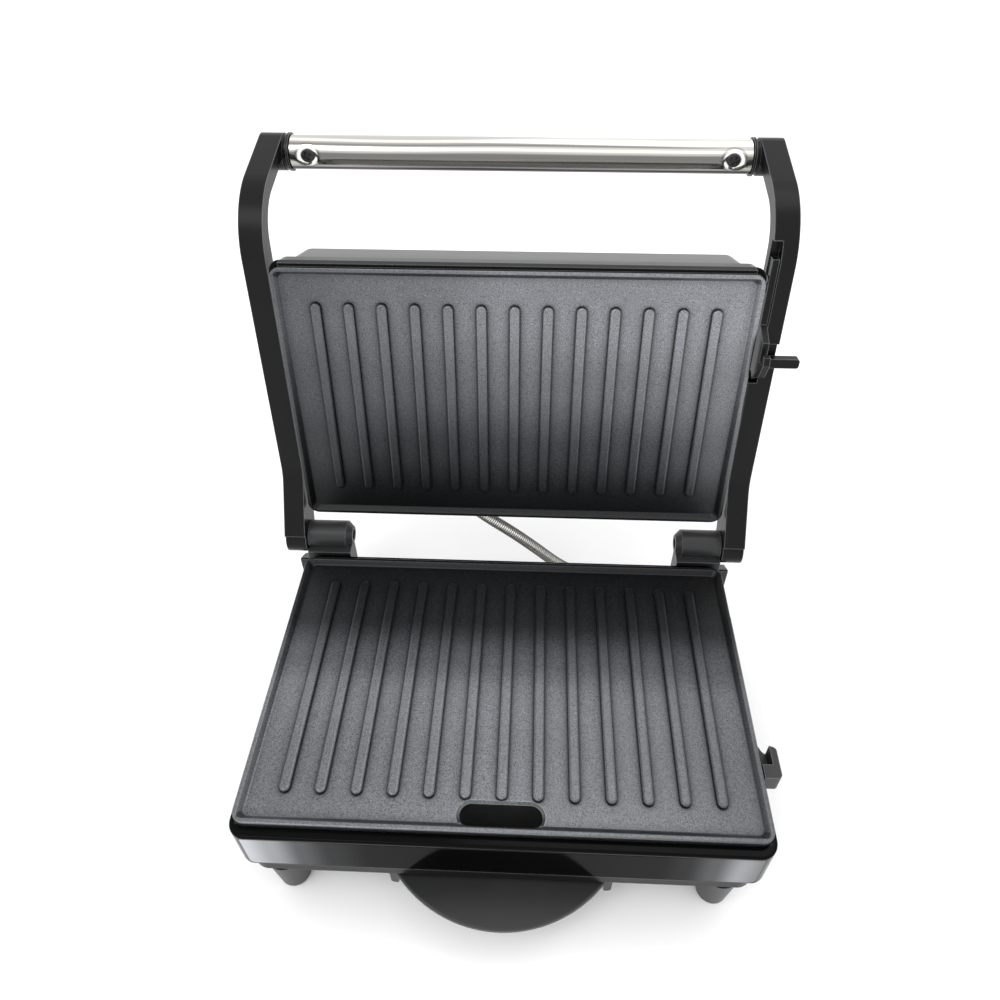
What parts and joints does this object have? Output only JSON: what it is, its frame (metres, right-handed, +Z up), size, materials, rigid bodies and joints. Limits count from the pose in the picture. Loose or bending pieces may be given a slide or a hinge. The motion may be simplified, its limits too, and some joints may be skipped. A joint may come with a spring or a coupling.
{
  "type": "panini press",
  "caption": "Open contact grill: two ribbed plates, a floating lid on hinged arms with a bar handle, a side latch and a drip tray.",
  "frame": {"origin": "on the table, at the middle of the open press's outline seen from above", "axes": "+Z up, the front with the drip tray faces -Y, +X to the right of a person at the front"},
  "size_m": [0.2672, 0.281, 0.2634],
  "materials": {
    "black_gloss_plastic": "gloss",
    "nonstick_aluminium": "speckled non-stick coating",
    "black_satin_plastic": "satin",
    "black_enamel": "satin",
    "black_plastic": "matte",
    "polished_steel": "polished",
    "brushed_cover": "brushed",
    "screw_steel": "satin",
    "rubber": "matte",
    "tray_plastic": "fine grain",
    "sheet_aluminium": "satin",
    "heater_sheath": "matte",
    "ceramic_white": "matte",
    "red_lens": "gloss",
    "green_lens": "gloss"
  },
  "bodies": {
    "base": {"back_foot_left": "black_plastic", "back_foot_right": "black_plastic", "base_bottom": "black_enamel", "base_housing": "black_gloss_plastic", "bottom_screws": "screw_steel", "drip_chute": "sheet_aluminium", "foot_pads": "rubber", "front_fascia": "black_gloss_plastic", "front_foot_left": "black_plastic", "front_foot_right": "black_plastic", "hinge_barrel_left": "black_plastic", "hinge_barrel_right": "black_plastic", "hinge_pin_left": "screw_steel", "hinge_pin_right": "screw_steel", "hinge_screws": "screw_steel", "hose_gland": "black_plastic", "latch_keeper": "black_plastic", "lower_heater": "heater_sheath", "lower_plate": "nonstick_aluminium", "lower_reflector": "sheet_aluminium", "lower_thermostat": "ceramic_white", "mains_inlet_gland": "black_plastic", "terminal_block": "black_plastic", "thermal_fuse": "ceramic_white", "tray_rail_left": "black_plastic", "tray_rail_right": "black_plastic", "wire_hose": "polished_steel"},
    "tray": {"drip_tray": "tray_plastic"},
    "arms": {"arm_left": "black_satin_plastic", "arm_right": "black_satin_plastic", "handle_bolt_left": "screw_steel", "handle_bolt_right": "screw_steel", "handle_plug_left": "black_satin_plastic", "handle_plug_right": "black_satin_plastic", "handle_screws": "screw_steel", "handle_tube": "polished_steel", "latch_screw": "screw_steel", "pivot_cap_left": "black_satin_plastic", "pivot_cap_right": "black_satin_plastic"},
    "pins": {"pivot_pin_left": "screw_steel", "pivot_pin_right": "screw_steel"},
    "lid": {"hose_grommet": "black_plastic", "lid_cover": "brushed_cover", "lid_housing": "black_gloss_plastic", "power_lamp": "red_lens", "ready_lamp": "green_lens", "upper_heater": "heater_sheath", "upper_plate": "nonstick_aluminium", "upper_reflector": "sheet_aluminium", "upper_thermostat": "ceramic_white"},
    "latch": {"latch_slide": "black_satin_plastic"}
  },
  "joints": [
    {"name": "lid_hinge", "type": "hinge", "parent": "base", "child": "arms", "pos_m": [-0.0054, 0.0441, 0.066], "axis": [1, 0, 0], "range_deg": [0, 98], "deforming": ["wire_hose"]},
    {"name": "lid_rise", "type": "slide", "parent": "arms", "child": "pins", "axis": [0, 0.9903, -0.1392], "range_m": [0, 0.006]},
    {"name": "lid_tilt", "type": "hinge", "parent": "pins", "child": "lid", "pos_m": [-0.0054, 0.07225, 0.15495], "axis": [1, 0, 0], "range_deg": [-4, 4]},
    {"name": "latch_slide", "type": "slide", "parent": "arms", "child": "latch", "axis": [0, 0.1392, 0.9903], "range_m": [0, 0.005]},
    {"name": "tray_slide", "type": "slide", "parent": "base", "child": "tray", "axis": [0, -1, 0], "range_m": [0, 0.07]}
  ]
}
